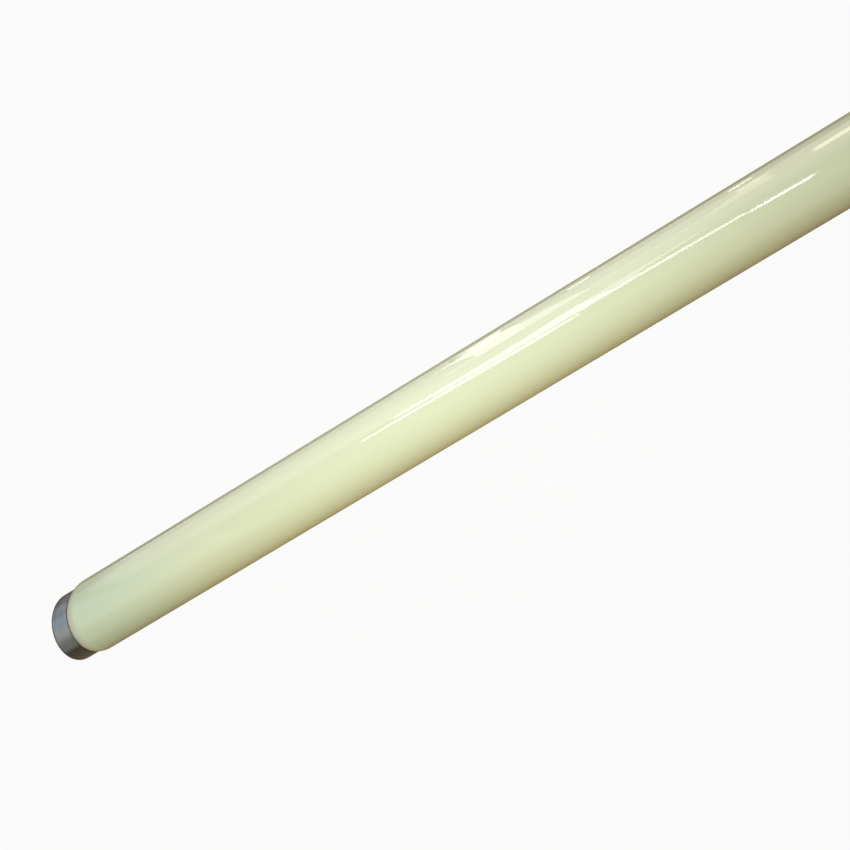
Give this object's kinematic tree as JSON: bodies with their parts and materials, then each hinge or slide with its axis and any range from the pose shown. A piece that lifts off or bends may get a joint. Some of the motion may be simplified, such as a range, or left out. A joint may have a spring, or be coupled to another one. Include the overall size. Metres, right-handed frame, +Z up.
{
  "type": "fluorescent tube",
  "caption": "Long straight coated-glass discharge tube with a metal bi-pin cap on each end, held between a pair of lampholders.",
  "frame": {"origin": "middle of the tube, on its axis", "axes": "+X along the tube, +Y across it in the plane of the pins, +Z up"},
  "size_m": [1.2122, 0.0324, 0.0324],
  "materials": {
    "coated_glass": "gloss",
    "cap_metal": "satin",
    "cement": "matte",
    "insulator": "matte",
    "pin_brass": "satin",
    "lead_wire": "satin"
  },
  "bodies": {
    "root": {"glass_bulb": "coated_glass", "left_cap_shell": "cap_metal", "left_cement_ring": "cement", "left_insulating_disc": "insulator", "left_front_pin": "pin_brass", "left_front_lead_wire": "lead_wire", "left_rear_pin": "pin_brass", "left_rear_lead_wire": "lead_wire", "right_cap_shell": "cap_metal", "right_cement_ring": "cement", "right_insulating_disc": "insulator", "right_front_pin": "pin_brass", "right_front_lead_wire": "lead_wire", "right_rear_pin": "pin_brass", "right_rear_lead_wire": "lead_wire"}
  },
  "joints": []
}
